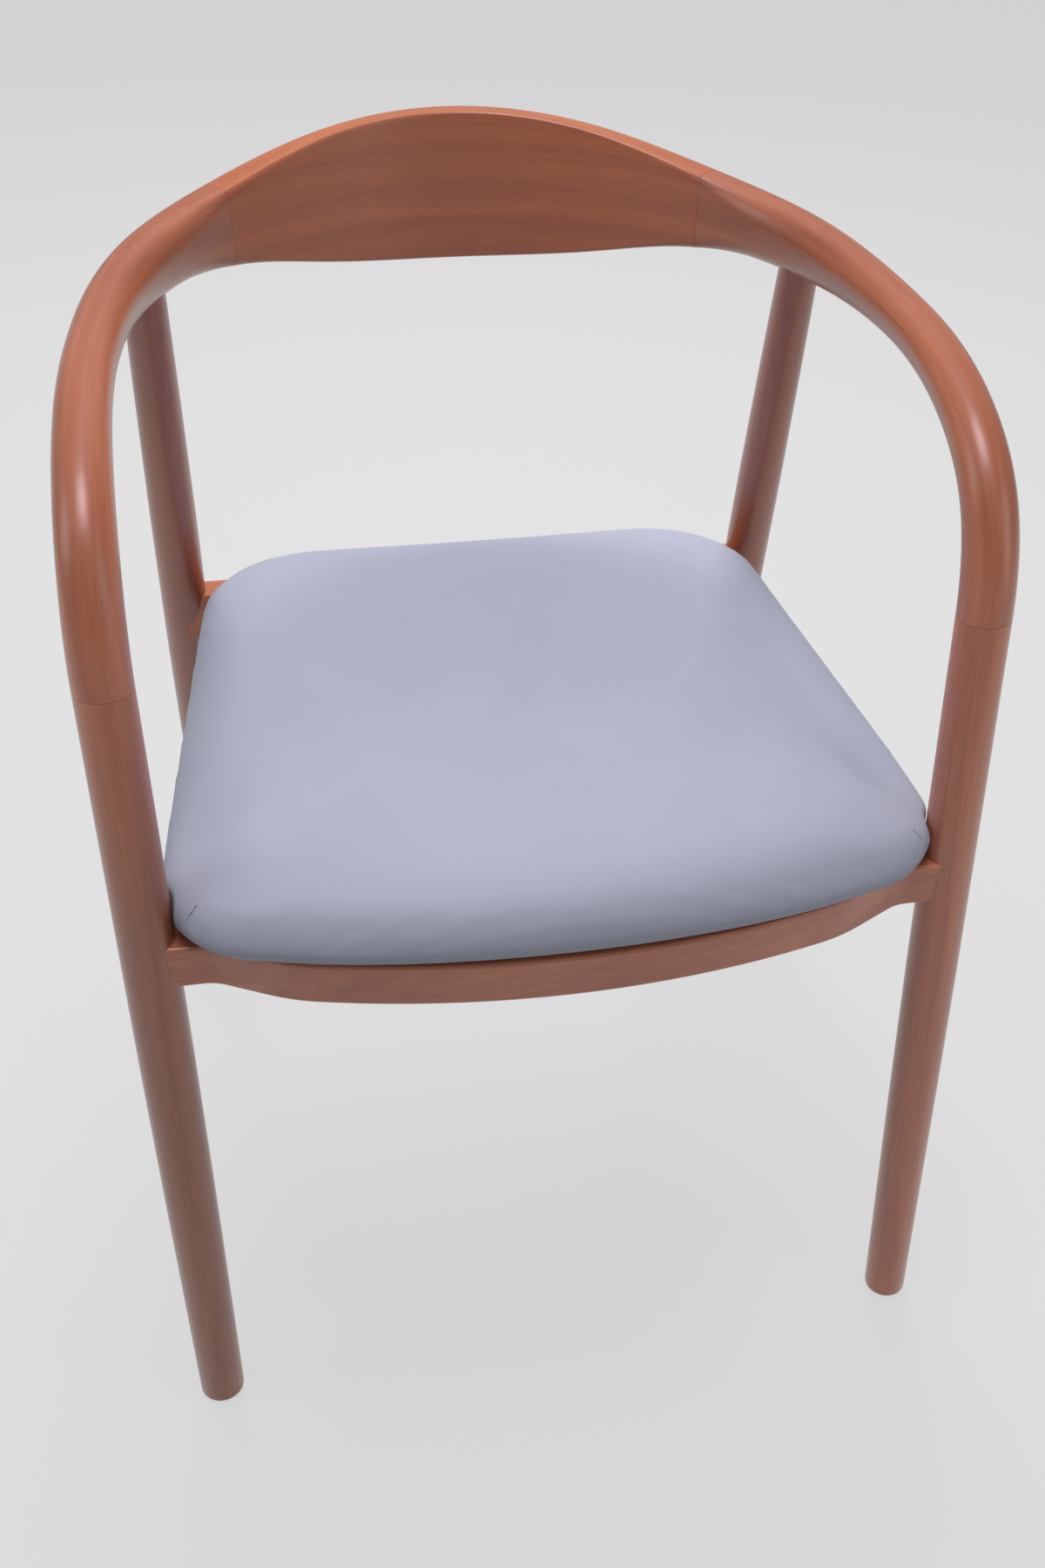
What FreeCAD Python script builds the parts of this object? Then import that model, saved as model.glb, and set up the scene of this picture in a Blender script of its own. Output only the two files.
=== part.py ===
import FreeCAD, Part
import math
import os

os.makedirs("parts", exist_ok=True)
Vector = FreeCAD.Vector

# The chair stands on z = 0 and faces -Y. Its right half, x > 0, is drawn and then mirrored.

# Overall sizes
arm_half_width = 262.6
arm_front = -220.5
back_middle = 232.8
arm_height = 713.3

# Points of an arm and half the back: shares of the width, of the depth and of the height
leg_top_shares = (1.000, 0.000, 0.840)
elbow_shares = (0.991, 0.043, 0.935)
shoulder_shares = (0.982, 0.201, 0.991)
arm_shares = (0.956, 0.423, 1.002)
junction_shares = (0.851, 0.672, 1.000)
joint_shares = (0.652, 0.828, 1.002)
quarter_shares = (0.362, 0.940, 1.000)
middle_shares = (0.000, 1.000, 0.997)
arm_path_shares = [leg_top_shares, elbow_shares, shoulder_shares, arm_shares,
                   junction_shares, joint_shares, quarter_shares, middle_shares]

# Legs
front_foot_half_width = 265.4
front_foot_front = -280.3
front_foot_radius = 15.8
front_leg_radius = 17.9
leg_top_radius = 17.5
front_taper_share = 0.55
rear_foot_half_width = 240.3
rear_foot_back = 294.3
rear_foot_radius = 14.2
rear_leg_radius = 17.5
rear_top_radius = 13.9
rear_taper_share = 0.5
rear_tenon_radius = 9
rear_tenon_length = 26
glide_radius = 10.5
glide_height = 4
glide_edge = 1
glide_recess_radius = 4
glide_recess_depth = 2
nail_radius = 1.3
nail_length = 20
nail_head_radius = 3.2
nail_head_height = 1

# Section of the arm and of the backrest at each point of the centreline
elbow_radius = 17.1
shoulder_radius = 16.3
arm_radius = 15.9
junction_half_thick = 16.5
junction_half_height = 20.7
joint_half_thick = 13.9
joint_half_height = 25.7
quarter_half_thick = 10.6
quarter_half_height = 43.1
middle_half_thick = 10.2
middle_half_height = 51.1
half_thick_sizes = [leg_top_radius, elbow_radius, shoulder_radius, arm_radius,
                    junction_half_thick, joint_half_thick, quarter_half_thick, middle_half_thick]
half_height_sizes = [leg_top_radius, elbow_radius, shoulder_radius, arm_radius,
                     junction_half_height, joint_half_height, quarter_half_height, middle_half_height]
board_form_shares = [0, 0, 0, 0, 0.17, 0.8, 1, 1]
lean_shares = [0, 0, 0, 0, 0.3, 0.8, 1, 1]
back_lean_degrees = 2.7
face_edge_radius = 2.6
rear_edge_radius = 7.5

# Seat frame
rail_top = 426.5
front_rail_height = 32
front_rail_thick = 26
front_ear_length = 38
bow_shoulder_run = 47
bow_shoulder_depth = 25
bow_apex_depth = 67
ear_corner_radius = 28
bow_shoulder_radius = 130
bow_nose_share = 0.87
side_rail_height = 38
side_rail_thick = 18
side_rail_front_offset = 11
side_rail_rear_offset = 43
rear_rail_height = 38
rear_rail_thick = 22
rear_rail_lead = 5
rail_edge_radius = 2.5
block_height = 24
front_block_leg = 46
rear_block_leg = 95
block_nose = 9
block_screw_share = 0.66
block_screw_rise = 6
seat_screw_share = 0.45

# Seat
hem_thick = 1.3
hem_width = 24
cover_thick = 1.2
board_thick = 12
board_inset = 3.5
seat_rear_overlap = 4
seat_rear_corner_inset = 21
seat_front_corner_inset = 5
seat_front_corner_lead = 26
seat_nose_lead = 98
seat_rear_corner_radius = 100
seat_front_corner_radius = 76
seat_nose_share = 0.73
seat_edge_height = 37
seat_crown_height = 11
seat_side_shares = [(0.960, 0), (0.985, 0.25), (0.990, 0.55), (0.972, 0.88)]
seat_crown_shares = [(0.93, 0.20), (0.86, 0.50), (0.74, 0.75), (0.55, 0.92), (0.28, 1)]
dust_cover_thick = 0.8
dust_cover_inset = 30

# Dowels and screws
dowel_radius = 4
dowel_length = 34
leg_dowel_depth = 12
rail_dowel_pitch = 15
front_rail_dowel_lead = 3.5
rear_rail_dowel_pitch = 22
joint_dowel_radius = 5
joint_dowel_length = 60
arm_dowel_pitch = 18
back_dowel_pitch = 34
dowel_chamfer = 0.8
screw_radius = 2
screw_head_radius = 4
screw_head_height = 2.4
seat_screw_length = 32
block_screw_length = 30
block_screw_seat = 14

# Fits
glue_gap = 0.1
hole_end_gap = 0.5
screw_gap = 0.15
seat_gap = 0.2
overrun = 60

UP = Vector(0, 0, 1)
DOWN = Vector(0, 0, -1)
ORIGIN = Vector(0, 0, 0)
MIRROR_NORMAL = Vector(1, 0, 0)
CIRCLE_HANDLE = 4 / 3 * math.tan(math.pi / 16)
CORNER_HANDLE = 4 / 3 * math.tan(math.pi / 8)


# Helpers
def mirrored(shape):
    return shape.mirror(ORIGIN, MIRROR_NORMAL)


def mirrored_point(point):
    return Vector(-point.x, point.y, point.z)


def both_sides(shapes):
    return list(shapes) + [mirrored(shape) for shape in shapes]


def save(name, shape):
    solids = shape.Solids if hasattr(shape, "Solids") else [s for one in shape for s in one.Solids]
    body = solids[0] if len(solids) == 1 else Part.makeCompound(solids)
    body.exportStep("parts/" + name + ".step")
    volume = sum(solid.Volume for solid in solids)
    print(name, len(solids), "solids", round(volume / 1000, 1), "cm3", all(s.isValid() for s in solids))


def at_share(values, station):
    low = min(int(station), len(values[1:-1]))
    part = station - low
    return values[low] * (1 - part) + values[low + 1] * part


def point_on(start, end, height):
    share = (height - start.z) / (end.z - start.z)
    return start + (end - start) * share


def turned(shape, base, direction):
    placed = shape.copy()
    placed.Placement = FreeCAD.Placement(base, FreeCAD.Rotation(UP, direction))
    return placed


def rod(radius, length, base, direction):
    return Part.makeCylinder(radius, length, base, direction)


def dowel(radius, middle, direction, length):
    axis = Vector(direction).normalize()
    pin = rod(radius, length, middle - axis * (length / 2), axis)
    ends = [edge for edge in pin.Edges if edge.Closed]
    return pin.makeChamfer(dowel_chamfer, ends)


def dowel_hole(radius, middle, direction, length):
    axis = Vector(direction).normalize()
    long = length + hole_end_gap * 2
    return rod(radius + glue_gap, long, middle - axis * (long / 2), axis)


def drilled(shape, holes):
    for hole in holes:
        shape = shape.cut(hole)
    return shape


def largest(shape):
    return max(shape.Solids, key=lambda solid: solid.Volume)


def rounded_wire(points, radii, height):
    # Closed outline of straight lines joined by tangent arcs, one radius for each corner
    edges = []
    ends = []
    count = len(points)
    for i in range(count):
        corner = points[i]
        back = (points[i - 1] - corner).normalize()
        ahead = (points[(i + 1) % count] - corner).normalize()
        half = back.getAngle(ahead) / 2
        reach = radii[i] / math.tan(half)
        centre_line = (back + ahead).normalize()
        middle = corner + centre_line * (radii[i] / math.sin(half) - radii[i])
        ends.append((corner + back * reach, middle, corner + ahead * reach))
    for i in range(count):
        start, middle, end = [Vector(p.x, p.y, height) for p in ends[i]]
        edges.append(Part.Arc(start, middle, end).toShape())
        following = ends[(i + 1) % count][0]
        edges.append(Part.LineSegment(end, Vector(following.x, following.y, height)).toShape())
    return Part.Wire(edges)


# Centreline of the arm and the back
def path_knots():
    depth = back_middle - arm_front
    return [Vector(arm_half_width * across, arm_front + depth * along, arm_height * rise)
            for across, along, rise in arm_path_shares]


knots = path_knots()
leg_top_station = arm_path_shares.index(leg_top_shares)
rear_leg_station = arm_path_shares.index(junction_shares)
joint_station = arm_path_shares.index(joint_shares)
middle_station = arm_path_shares.index(middle_shares)
leg_top = knots[leg_top_station]
front_foot = Vector(front_foot_half_width, front_foot_front, 0)
rear_foot = Vector(rear_foot_half_width, rear_foot_back, 0)
rear_leg_top = knots[rear_leg_station]
front_leg_axis = (leg_top - front_foot).normalize()
rear_leg_axis = (rear_leg_top - rear_foot).normalize()


def arm_path():
    steps = [0]
    for one, following in zip(knots, knots[1:]):
        steps.append(steps[-1] + (following - one).Length)
    curve = Part.BSplineCurve()
    curve.interpolate(Points=knots, Parameters=steps, InitialTangent=front_leg_axis,
                      FinalTangent=Vector(-1, 0, 0), Scale=False)
    return curve, steps


path, path_steps = arm_path()


def frame_at(station):
    # Place on the centreline, the way along it, the way towards the sitter, and the way up
    parameter = at_share(path_steps, station)
    place = path.value(parameter)
    along = Vector(*path.tangent(parameter)[0])
    inward = Vector(-along.y, along.x, 0).normalize()
    up = along.cross(inward)
    lean = math.radians(back_lean_degrees) * at_share(lean_shares, station)
    leaned_in = inward * math.cos(lean) + up * math.sin(lean)
    leaned_up = up * math.cos(lean) - inward * math.sin(lean)
    return place, along, leaned_in, leaned_up


def round_poles(thick, height):
    # Eight arcs of an ellipse: each joint with its handle
    poles = []
    for i in range(8):
        angle = math.radians(45 * i - 22.5)
        point = (thick * math.cos(angle), height * math.sin(angle))
        handle = (-thick * math.sin(angle) * CIRCLE_HANDLE, height * math.cos(angle) * CIRCLE_HANDLE)
        poles.append((point, handle))
    return poles


def board_poles(thick, height):
    # A board on edge: flat face and crisp edges towards the sitter, well rounded edges behind
    face = face_edge_radius
    rear = rear_edge_radius
    face_handle = face * CORNER_HANDLE
    rear_handle = rear * CORNER_HANDLE
    return [
        ((thick, face - height), (0, face_handle)),
        ((thick, height - face), (0, face_handle)),
        ((thick - face, height), (-face_handle, 0)),
        ((rear - thick, height), (-rear_handle, 0)),
        ((-thick, height - rear), (0, -rear_handle)),
        ((-thick, rear - height), (0, -rear_handle)),
        ((rear - thick, -height), (rear_handle, 0)),
        ((thick - face, -height), (face_handle, 0)),
    ]


def section_poles(station, side):
    # Eight curves of four poles each, closed round the section at one place of the centreline
    place, along, inward, up = frame_at(station)
    thick = at_share(half_thick_sizes, station)
    height = at_share(half_height_sizes, station)
    board = at_share(board_form_shares, station)
    joints = []
    for (a, ah), (b, bh) in zip(round_poles(thick, height), board_poles(thick, height)):
        point = [p * (1 - board) + q * board for p, q in zip(a, b)]
        handle = [p * (1 - board) + q * board for p, q in zip(ah, bh)]
        joints.append((place + inward * point[0] + up * point[1], inward * handle[0] + up * handle[1]))
    curves = []
    for (start, leaving), (end, arriving) in zip(joints, joints[1:] + joints[:1]):
        poles = [start, start + leaving, end - arriving, end]
        curves.append([Vector(side * p.x, p.y, p.z) for p in poles])
    return curves


# One skin over the whole horseshoe, from which the arms and the backrest are cut at their joints
def horseshoe_sections():
    half = [step / 2 for step in range(leg_top_station, middle_station * 2 + 1)]
    whole = [(station, 1) for station in half] + [(station, -1) for station in reversed(half[:-1])]
    return whole, [section_poles(station, side) for station, side in whole]


def horseshoe_steps(whole):
    middles = []
    for station, side in whole:
        place = frame_at(station)[0]
        middles.append(Vector(side * place.x, place.y, place.z))
    steps = [0]
    for one, following in zip(middles, middles[1:]):
        steps.append(steps[-1] + (following - one).Length)
    return steps


def horseshoe_skin():
    whole, sections = horseshoe_sections()
    steps = horseshoe_steps(whole)
    leaving = Vector(-front_leg_axis.x, front_leg_axis.y, front_leg_axis.z) * -1
    surfaces = []
    for strip in range(len(sections[0])):
        rows = []
        for i in range(len(sections[0][strip])):
            row = Part.BSplineCurve()
            row.interpolate(Points=[section[strip][i] for section in sections], Parameters=steps,
                            InitialTangent=front_leg_axis, FinalTangent=leaving, Scale=False)
            rows.append(row)
        surface = Part.BSplineSurface()
        surface.buildFromPolesMultsKnots([row.getPoles() for row in rows], [4, 4],
                                         rows[0].getMultiplicities(), [0, 1], rows[0].getKnots(),
                                         False, False, 3, rows[0].Degree)
        surfaces.append(surface)
    return whole, sections, steps, surfaces


def section_face(section):
    edges = []
    for poles in section:
        curve = Part.BezierCurve()
        curve.setPoles(poles)
        edges.append(curve.toShape())
    return Part.Face(Part.Wire(edges))


def horseshoe_piece(skin, first, last):
    # The stretch of the horseshoe between two of its sections, closed with flat ends
    whole, sections, steps, surfaces = skin
    start = whole.index(first)
    end = whole.index(last)
    faces = [surface.toShape(0, 1, steps[start], steps[end]) for surface in surfaces]
    faces += [section_face(sections[start]), section_face(sections[end])]
    shell = Part.Compound(faces)
    shell.sewShape()
    solid = Part.Solid(shell.Shells[0])
    if solid.Volume < 0:
        solid.reverse()
    return solid


# Arms and backrest
def joint_dowel_places():
    place, along, inward, up = frame_at(joint_station)
    half = up * (back_dowel_pitch / 2)
    return [(place + half, along), (place - half, along)]


def arm_dowel_places():
    half = Vector(1, 0, 0) * (arm_dowel_pitch / 2)
    return [(leg_top + half, front_leg_axis), (leg_top - half, front_leg_axis)]


def arm_blank(skin):
    return horseshoe_piece(skin, (leg_top_station, 1), (joint_station, 1))


def finished_arm(blank):
    holes = [dowel_hole(joint_dowel_radius, place, along, joint_dowel_length)
             for place, along in joint_dowel_places() + arm_dowel_places()]
    mortise = rod(rear_tenon_radius + glue_gap, rear_tenon_length * 2 + hole_end_gap,
                  rear_leg_top - rear_leg_axis * (rear_tenon_length * 2), rear_leg_axis)
    return drilled(blank, holes + [mortise])


def backrest(skin):
    board = horseshoe_piece(skin, (joint_station, 1), (joint_station, -1))
    holes = [dowel_hole(joint_dowel_radius, place, along, joint_dowel_length)
             for place, along in joint_dowel_places()]
    return drilled(board, both_sides(holes))


# Legs
def turned_leg(foot, top, radii, taper_share):
    # Turned on a lathe: fullest at a share of its length, tapered both ways, cut level where it stands
    foot_radius, leg_radius, top_radius = radii
    axis = (top - foot).normalize()
    length = (top - foot).Length
    profile = [
        Vector(0, 0, -foot_radius),
        Vector(foot_radius, 0, -foot_radius),
        Vector(leg_radius, 0, length * taper_share),
        Vector(top_radius, 0, length),
        Vector(0, 0, length),
    ]
    solid = Part.Face(Part.makePolygon(profile + profile[:1])).revolve(ORIGIN, UP, 360)
    leg = turned(solid, foot, axis)
    floor = Part.makeBox(overrun * 2, overrun * 2, overrun,
                         Vector(foot.x - overrun, foot.y - overrun, glide_height - overrun))
    return leg.cut(floor)


def nail_hole(foot):
    base = glide_centre(foot)
    return rod(nail_radius + glue_gap, nail_length + hole_end_gap, base, UP)


def glide_centre(foot):
    return Vector(foot.x, foot.y, 0)


def front_leg(plain_leg):
    holes = [dowel_hole(joint_dowel_radius, place, along, joint_dowel_length)
             for place, along in arm_dowel_places()]
    holes += rail_dowel_holes(front_rail_dowels() + side_rail_front_dowels())
    return drilled(plain_leg, holes + [nail_hole(front_foot)])


def rear_leg(arm):
    radii = rear_foot_radius, rear_leg_radius, rear_top_radius
    leg = turned_leg(rear_foot, rear_leg_top, radii, rear_taper_share)
    tenon = rod(rear_tenon_radius, rear_tenon_length * 2 - hole_end_gap,
                rear_leg_top - rear_leg_axis * (rear_tenon_length * 2), rear_leg_axis)
    holes = rail_dowel_holes(rear_rail_dowels())
    return drilled(largest(leg.cut(arm)).fuse(tenon), holes + [nail_hole(rear_foot)])


# Seat frame
front_leg_at_rail = point_on(front_foot, leg_top, rail_top - front_rail_height / 2)
rear_leg_at_rail = point_on(rear_foot, rear_leg_top, rail_top - rear_rail_height / 2)
ear_front = front_leg_at_rail.y - front_rail_thick / 2
ear_rear = ear_front + front_rail_thick
ear_start = front_leg_at_rail.x - front_ear_length
bow_shoulder = ear_start - bow_shoulder_run
rear_rail_middle = rear_leg_at_rail.y - rear_rail_lead
rear_rail_front = rear_rail_middle - rear_rail_thick / 2
side_rail_start = Vector(front_leg_at_rail.x - side_rail_front_offset, front_leg_at_rail.y, 0)
side_rail_end = Vector(rear_leg_at_rail.x - side_rail_rear_offset, rear_rail_front, 0)
side_rail_way = (side_rail_end - side_rail_start).normalize()
side_rail_inward = Vector(-side_rail_way.y, side_rail_way.x, 0)


def nose_arc_radius(half_width, depth, length_share):
    # Radius of the arc that rounds a nose over a share of its two straight sides
    slope_length = math.hypot(half_width, depth)
    return slope_length * length_share * half_width / depth


def bow_corners(front):
    # Corners of one long face of the front rail, from the right ear over the nose to the left ear
    right = [
        Vector(ear_start, front, 0),
        Vector(bow_shoulder, front - bow_shoulder_depth, 0),
    ]
    nose = Vector(0, front - bow_apex_depth, 0)
    return right + [nose] + [mirrored_point(p) for p in reversed(right)]


def front_rail(legs):
    # Sawn to a bow that leans out in front of the seat, with a straight ear at each leg
    end = front_leg_at_rail.x
    front = [Vector(end, ear_front, 0)] + bow_corners(ear_front) + [Vector(-end, ear_front, 0)]
    rear = [mirrored_point(p) + Vector(0, front_rail_thick, 0) for p in front]
    nose_radius = nose_arc_radius(bow_shoulder, bow_apex_depth - bow_shoulder_depth, bow_nose_share)
    bow_radii = [ear_corner_radius, bow_shoulder_radius, nose_radius, bow_shoulder_radius, ear_corner_radius]
    radii = [rail_edge_radius] + bow_radii + [rail_edge_radius]
    outline = rounded_wire(front + rear, radii + radii, rail_top - front_rail_height)
    rail = Part.Face(outline).extrude(UP * front_rail_height)
    eased = [edge for edge in rail.Edges if is_long_front_edge(edge)]
    rail = rail.makeFillet(rail_edge_radius, eased)
    holes = rail_dowel_holes(front_rail_dowels() + side_rail_front_dowels())
    return drilled(largest(drilled(rail, legs)), both_sides(holes))


def is_long_front_edge(edge):
    middle = edge.valueAt((edge.FirstParameter + edge.LastParameter) / 2)
    level = abs(edge.BoundBox.ZLength) < glue_gap
    return level and middle.y < ear_front + glue_gap


def straight_rail(start, end, thick, height):
    way = (end - start).normalize()
    side = Vector(-way.y, way.x, 0) * (thick / 2)
    low = UP * (rail_top - height)
    corners = [start + side + low, end + side + low, end - side + low, start - side + low]
    outline = Part.makePolygon(corners + corners[:1])
    rail = Part.Face(outline).extrude(UP * height)
    bottom = [edge for edge in rail.Edges
              if edge.BoundBox.ZMax < rail_top - height + glue_gap and edge.Length > thick * 2]
    return rail.makeFillet(rail_edge_radius, bottom)


def rear_rail(legs):
    end = Vector(rear_leg_at_rail.x, rear_rail_middle, 0)
    rail = straight_rail(end, Vector(-end.x, end.y, 0), rear_rail_thick, rear_rail_height)
    holes = rail_dowel_holes(rear_rail_dowels() + side_rail_rear_dowels())
    return drilled(largest(drilled(rail, legs)), both_sides(holes))


def side_rail(leg, front):
    # Coped round the front leg, and cut against the front rail and the front face of the rear rail
    rail = straight_rail(side_rail_start, side_rail_end + side_rail_way * rear_rail_thick,
                         side_rail_thick, side_rail_height)
    end = Vector(rear_leg_at_rail.x, rear_rail_middle, 0)
    stop = straight_rail(end, Vector(-end.x, end.y, 0), rear_rail_thick, rear_rail_height)
    holes = rail_dowel_holes(side_rail_front_dowels() + side_rail_rear_dowels())
    return drilled(largest(rail.cut(leg).cut(front).cut(stop)), holes)


def stacked(place, way, height, pitch):
    middle = rail_top - height / 2
    return [(Vector(place.x, place.y, middle + side * pitch / 2), way) for side in (-1, 1)]


def rail_dowel_holes(places):
    return [dowel_hole(dowel_radius, place, way, dowel_length) for place, way in places]


def front_rail_dowels():
    leg = front_leg_at_rail
    surface = leg.x - front_leg_radius
    middle = Vector(surface + leg_dowel_depth - dowel_length / 2, leg.y - front_rail_dowel_lead, 0)
    return stacked(middle, Vector(1, 0, 0), front_rail_height, rail_dowel_pitch)


def side_rail_front_dowels():
    leg = front_leg_at_rail
    reach = math.sqrt(front_leg_radius ** 2 - side_rail_front_offset ** 2)
    start = side_rail_start + side_rail_way * (reach - leg_dowel_depth + dowel_length / 2)
    return stacked(start, side_rail_way, side_rail_height, rail_dowel_pitch)


def side_rail_rear_dowels():
    # One dowel at mid height, which passes between the two that hold the rear rail to its leg
    middle = side_rail_end - side_rail_way * (dowel_length / 2 - leg_dowel_depth)
    return [(Vector(middle.x, middle.y, rail_top - side_rail_height / 2), side_rail_way)]


def rear_rail_dowels():
    surface = rear_leg_at_rail.x - rear_leg_radius
    middle = Vector(surface + leg_dowel_depth - dowel_length / 2, rear_rail_middle, 0)
    return stacked(middle, Vector(1, 0, 0), rear_rail_height, rear_rail_dowel_pitch)


def dowel_set(places, radius, length):
    return both_sides([dowel(radius, place, way, length) for place, way in places])


# Corner blocks, each glued and screwed into the angle of two rails
def front_block_legs():
    # Its inner corner, and its two legs along the rails
    inner = side_rail_start + side_rail_inward * (side_rail_thick / 2)
    run = (ear_rear - inner.y) / side_rail_way.y
    return inner + side_rail_way * run, Vector(-front_block_leg, 0, 0), side_rail_way * front_block_leg


def rear_block_legs():
    inner = side_rail_end + side_rail_inward * (side_rail_thick / 2)
    return inner, Vector(-rear_block_leg, 0, 0), side_rail_way * -rear_block_leg


def block_screw_places(corner, first, second):
    # One screw into each rail, square to it and clear of the other
    middle = rail_top - block_height / 2
    places = []
    for along, other, rise in ((first, second, block_screw_rise), (second, first, -block_screw_rise)):
        normal = other - along * (other.dot(along) / along.dot(along))
        normal.normalize()
        start = corner + along * block_screw_share
        places.append((Vector(start.x, start.y, middle + rise), normal))
    return places


def block_screws(corner, first, second):
    screws = []
    for place, normal in block_screw_places(corner, first, second):
        seat = place + normal * block_screw_seat
        shank = rod(screw_radius, block_screw_length, seat, normal * -1)
        head = rod(screw_head_radius, screw_head_height, seat, normal)
        screws.append(shank.fuse(head))
    return screws


def block_screw_holes(corner, first, second):
    holes = []
    for place, normal in block_screw_places(corner, first, second):
        seat = place + normal * block_screw_seat
        holes.append(rod(screw_radius + screw_gap, block_screw_length + hole_end_gap, seat, normal * -1))
        holes.append(rod(screw_head_radius + screw_gap * 2, overrun, seat, normal))
    return holes


def seat_screw_base(corner, first, second):
    place = corner + (first + second) * seat_screw_share
    return Vector(place.x, place.y, rail_top - block_height)


def seat_screw(corner, first, second):
    base = seat_screw_base(corner, first, second)
    shank = rod(screw_radius, seat_screw_length, base, UP)
    head = rod(screw_head_radius, screw_head_height, base, DOWN)
    return shank.fuse(head)


def seat_screw_hole(corner, first, second):
    base = seat_screw_base(corner, first, second)
    return rod(screw_radius + screw_gap, seat_screw_length + hole_end_gap, base, UP)


def corner_block(corner, first, second):
    low = UP * (rail_top - block_height)
    first_nose = Vector(first).normalize() * block_nose
    second_nose = Vector(second).normalize() * block_nose
    nose = [corner + first, corner + first + second_nose, corner + second + first_nose, corner + second]
    points = [corner + low] + [p + low for p in nose]
    block = Part.Face(Part.makePolygon(points + points[:1])).extrude(UP * block_height)
    return drilled(block, block_screw_holes(corner, first, second) + [seat_screw_hole(corner, first, second)])


# Seat
seat_rear = rear_rail_front + seat_rear_overlap
seat_front = front_leg_at_rail.y - seat_front_corner_lead
seat_nose = front_leg_at_rail.y - seat_nose_lead
rear_corner = Vector(rear_leg_at_rail.x - seat_rear_corner_inset, seat_rear, 0)
front_corner = Vector(front_leg_at_rail.x - seat_front_corner_inset, seat_front, 0)
seat_points = [rear_corner, mirrored_point(rear_corner), mirrored_point(front_corner),
               Vector(0, seat_nose, 0), front_corner]
seat_centre = Vector(0, (seat_rear + seat_front) / 2, 0)
seat_nose_radius = nose_arc_radius(front_corner.x, seat_front - seat_nose, seat_nose_share)
seat_radii = [seat_rear_corner_radius, seat_rear_corner_radius, seat_front_corner_radius,
              seat_nose_radius, seat_front_corner_radius]


def seat_outline(size_share, inset, height):
    # The seat's outline, drawn in evenly by a share and then by an inset
    half = seat_rear - seat_centre.y
    share = size_share * (1 - inset / half)
    points = [seat_centre + (point - seat_centre) * share for point in seat_points]
    return rounded_wire(points, [radius * share for radius in seat_radii], height)


def cushion_form(inset, low):
    wires = []
    for share, rise in seat_side_shares:
        wires.append(seat_outline(share, inset, low + (seat_edge_height - inset) * rise))
    top = low + seat_edge_height - inset
    for share, rise in seat_crown_shares:
        wires.append(seat_outline(share, inset, top + seat_crown_height * rise))
    return Part.makeLoft(wires, True, True)


def plate(inset, low, thick):
    return Part.Face(seat_outline(seat_side_shares[0][0], inset, low)).extrude(UP * thick)


hem_low = rail_top + seat_gap
board_low = hem_low + hem_thick


def seat_cover(holes):
    # Coated cloth pulled down over the foam and turned in under the board
    skin = cushion_form(0, board_low).cut(cushion_form(cover_thick, board_low))
    hem = plate(0, hem_low, hem_thick).cut(plate(hem_width, hem_low, hem_thick))
    return drilled(skin.fuse(hem), holes)


def seat_board(holes):
    return drilled(plate(board_inset, board_low, board_thick), holes)


def seat_foam():
    whole = cushion_form(cover_thick + seat_gap, board_low)
    return whole.cut(plate(board_inset - seat_gap, board_low - overrun, overrun + board_thick))


def dust_cover(holes):
    return drilled(plate(dust_cover_inset, board_low - dust_cover_thick, dust_cover_thick), holes)


# Floor glides
def glide(foot):
    base = glide_centre(foot)
    body = rod(glide_radius, glide_height, base, UP)
    edge = [e for e in body.Edges if e.Closed and e.BoundBox.ZMax < glue_gap]
    body = body.makeChamfer(glide_edge, edge)
    body = body.cut(rod(glide_recess_radius, glide_recess_depth, base, UP))
    return body.cut(rod(nail_radius + glue_gap, glide_height, base, UP))


def glide_nail(foot):
    base = glide_centre(foot) + UP * (glide_recess_depth - nail_head_height)
    head = rod(nail_head_radius, nail_head_height, base, UP)
    return head.fuse(rod(nail_radius, nail_length - glide_recess_depth, base, UP))


# Build and write every piece
skin = horseshoe_skin()
blank = arm_blank(skin)
front_radii = front_foot_radius, front_leg_radius, leg_top_radius
plain_front_leg = turned_leg(front_foot, leg_top, front_radii, front_taper_share)
right_arm = finished_arm(blank)
right_front_leg = front_leg(plain_front_leg)
right_rear_leg = rear_leg(blank)
corners = {"front": front_block_legs(), "rear": rear_block_legs()}
block_holes = [hole for place in corners.values() for hole in both_sides(block_screw_holes(*place))]
seat_holes = both_sides([seat_screw_hole(*place) for place in corners.values()])
plain_front_rail = front_rail(both_sides([plain_front_leg]))
front_rail_piece = drilled(plain_front_rail, block_holes)
rear_rail_piece = drilled(rear_rail(both_sides([right_rear_leg])), block_holes)
side_rail_piece = drilled(side_rail(plain_front_leg, plain_front_rail), block_holes)

save("backrest", backrest(skin))
save("arm_right", right_arm)
save("arm_left", mirrored(right_arm))
save("front_leg_right", right_front_leg)
save("front_leg_left", mirrored(right_front_leg))
save("rear_leg_right", right_rear_leg)
save("rear_leg_left", mirrored(right_rear_leg))
save("front_rail", front_rail_piece)
save("rear_rail", rear_rail_piece)
save("side_rail_right", side_rail_piece)
save("side_rail_left", mirrored(side_rail_piece))
for name, place in corners.items():
    block = corner_block(*place)
    save("corner_block_" + name + "_right", block)
    save("corner_block_" + name + "_left", mirrored(block))

save("seat_board", seat_board(seat_holes))
save("seat_foam", seat_foam())
save("seat_cover", seat_cover(seat_holes))
save("dust_cover", dust_cover(seat_holes))

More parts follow.
